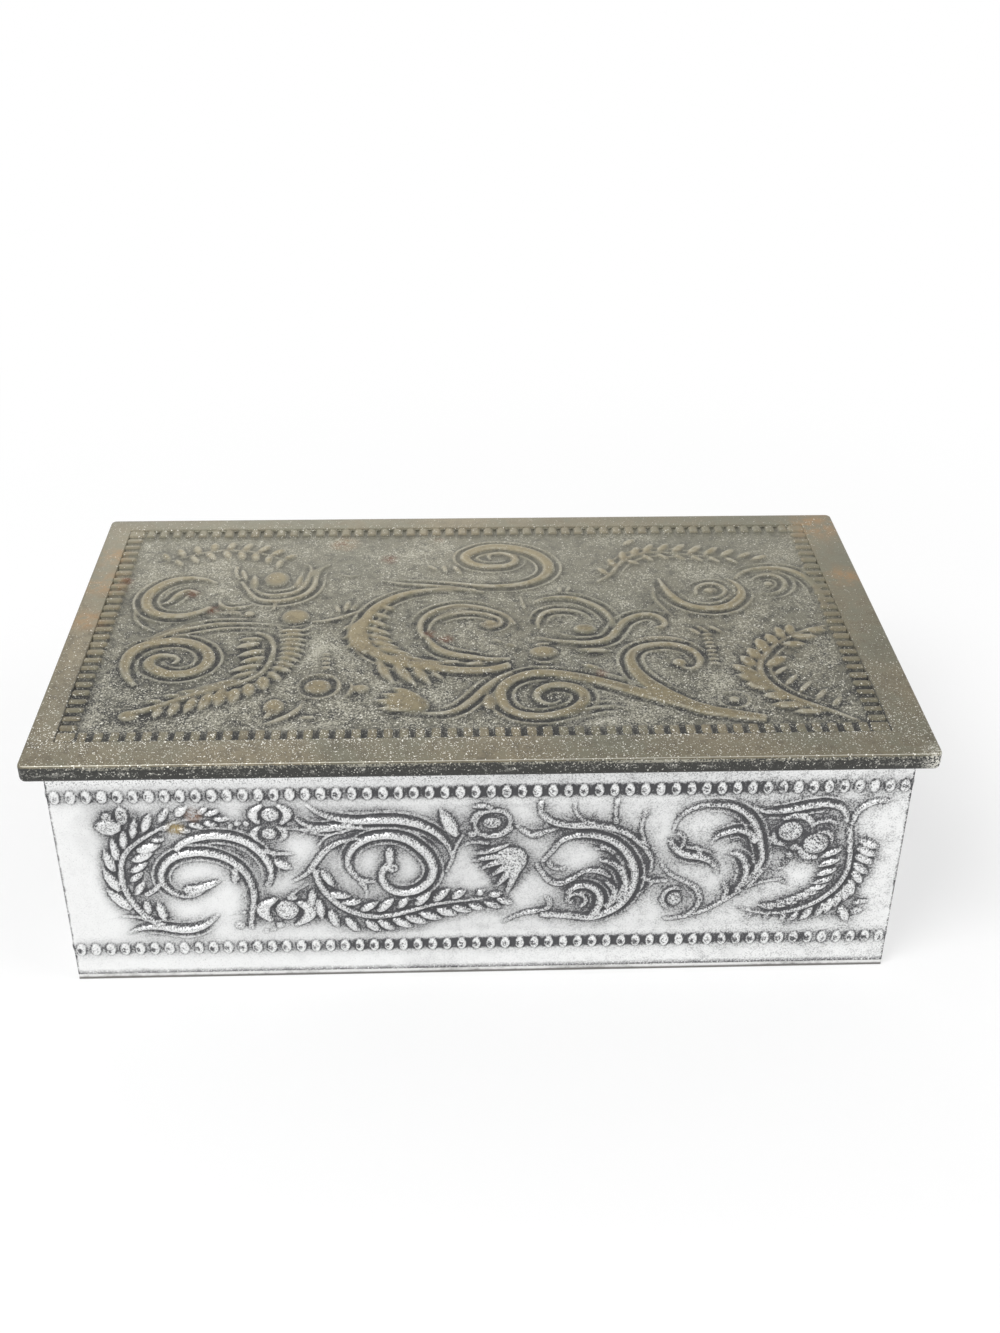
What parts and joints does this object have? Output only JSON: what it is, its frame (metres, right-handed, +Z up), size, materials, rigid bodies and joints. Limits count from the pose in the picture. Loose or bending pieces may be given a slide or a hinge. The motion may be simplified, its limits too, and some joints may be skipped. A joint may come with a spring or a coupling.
{
  "type": "stamp box",
  "caption": "Low rectangular desk box for postage stamps, with beaded walls, an overhanging hinged lid and curved-floor wells inside.",
  "frame": {"origin": "on the table below the middle of the closed box", "axes": "+X to the right along the front, +Y to the back where the hinge is, +Z up"},
  "size_m": [0.108, 0.063, 0.0351],
  "materials": {
    "silvered_wall": "bright silvery plate on pressed sheet, worn, with dark tarnish in the recesses",
    "bronzed_lid": "dull olive-brown patina with fine bright specks",
    "inside_metal": "plain plated sheet, dulled",
    "base_metal": "plain plated sheet, scuffed",
    "hinge_metal": "drawn tube and strip, tarnished",
    "pin_metal": "plain drawn wire"
  },
  "bodies": {
    "box": {"front_panel": "silvered_wall", "back_panel": "silvered_wall", "left_end_panel": "silvered_wall", "right_end_panel": "silvered_wall", "base_plate": "base_metal", "left_well_floor": "inside_metal", "middle_well_floor": "inside_metal", "right_well_floor": "inside_metal", "left_divider": "inside_metal", "right_divider": "inside_metal", "hinge_body_leaf": "hinge_metal", "hinge_pin": "pin_metal"},
    "lid": {"lid_shell": "bronzed_lid", "lid_liner": "inside_metal", "hinge_lid_leaf": "hinge_metal"}
  },
  "joints": [
    {"name": "lid_hinge", "type": "hinge", "parent": "box", "child": "lid", "pos_m": [0, 0.0291, 0.03265], "axis": [-1, 0, 0], "range_deg": [0, 105]}
  ]
}
